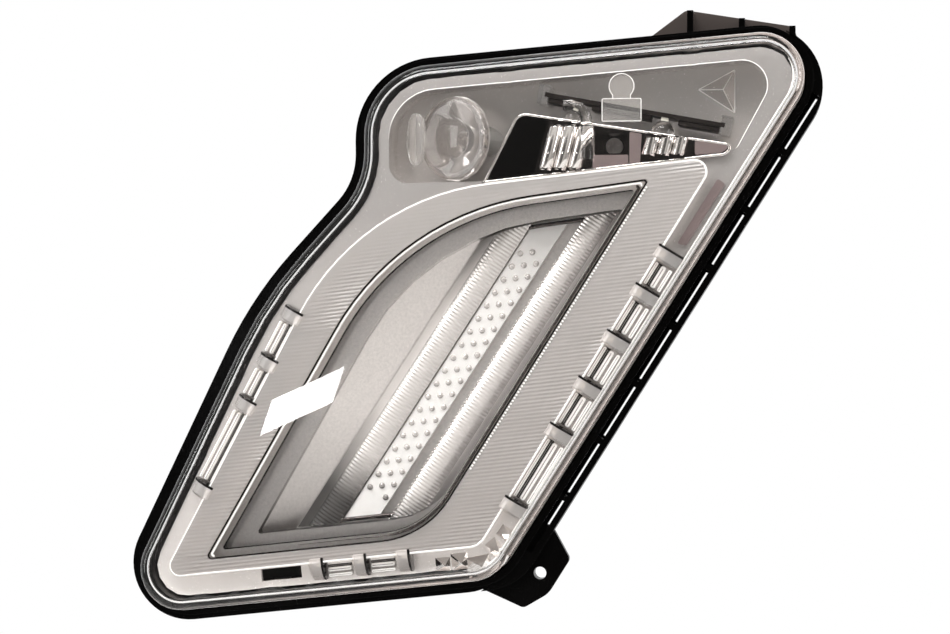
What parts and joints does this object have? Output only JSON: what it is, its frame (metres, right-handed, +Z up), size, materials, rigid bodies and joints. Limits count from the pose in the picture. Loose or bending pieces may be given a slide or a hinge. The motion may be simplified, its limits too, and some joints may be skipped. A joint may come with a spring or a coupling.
{
  "type": "car daytime running light",
  "caption": "Slanted car daytime running light with a black laddered housing, clear crowned lens, ribbed light-guide frame, dotted strip pocket and round marker optic.",
  "frame": {"origin": "centre of the lower tab's screw hole, on the tab's front face", "axes": "+X to the right seen from the front, -Y out of the lens, +Z up"},
  "size_m": [0.2534, 0.0805, 0.2235],
  "materials": {
    "black_plastic": "moulded, satin black",
    "sealant": "soft, dark",
    "clear_lens": "clear, hard coated",
    "silvered_plastic": "vacuum silvered",
    "chromed_plastic": "bright chromed",
    "satin_silver": "satin silvered",
    "clear_optic": "clear, ribbed",
    "circuit_board": "solder mask",
    "led": "phosphor",
    "grey_plastic": "moulded",
    "components": "moulded",
    "steel": "plated",
    "brass": "plated"
  },
  "bodies": {
    "root": {"housing": "black_plastic", "lens_sealant": "sealant", "outer_lens": "clear_lens", "main_reflector": "silvered_plastic", "light_frame": "clear_optic", "left_led_board": "circuit_board", "left_leds": "led", "right_led_board": "circuit_board", "right_leds": "led", "lower_led_board": "circuit_board", "lower_leds": "led", "visor": "chromed_plastic", "visor_screw": "steel", "pocket_reflector": "satin_silver", "left_bar": "clear_optic", "right_bar": "clear_optic", "dotted_strip": "clear_optic", "marker_collimator": "clear_optic", "marker_cup": "silvered_plastic", "marker_led": "led", "marker_led_board": "circuit_board", "marker_holder": "grey_plastic", "side_optic": "clear_optic", "upper_led_board": "circuit_board", "upper_leds": "led", "upper_light_pipes": "clear_optic", "board_clips": "clear_optic", "board_ear": "clear_optic", "driver_board": "circuit_board", "driver_components": "components", "driver_screws": "steel", "connector_pins": "brass", "vent_cap": "sealant"}
  },
  "joints": []
}
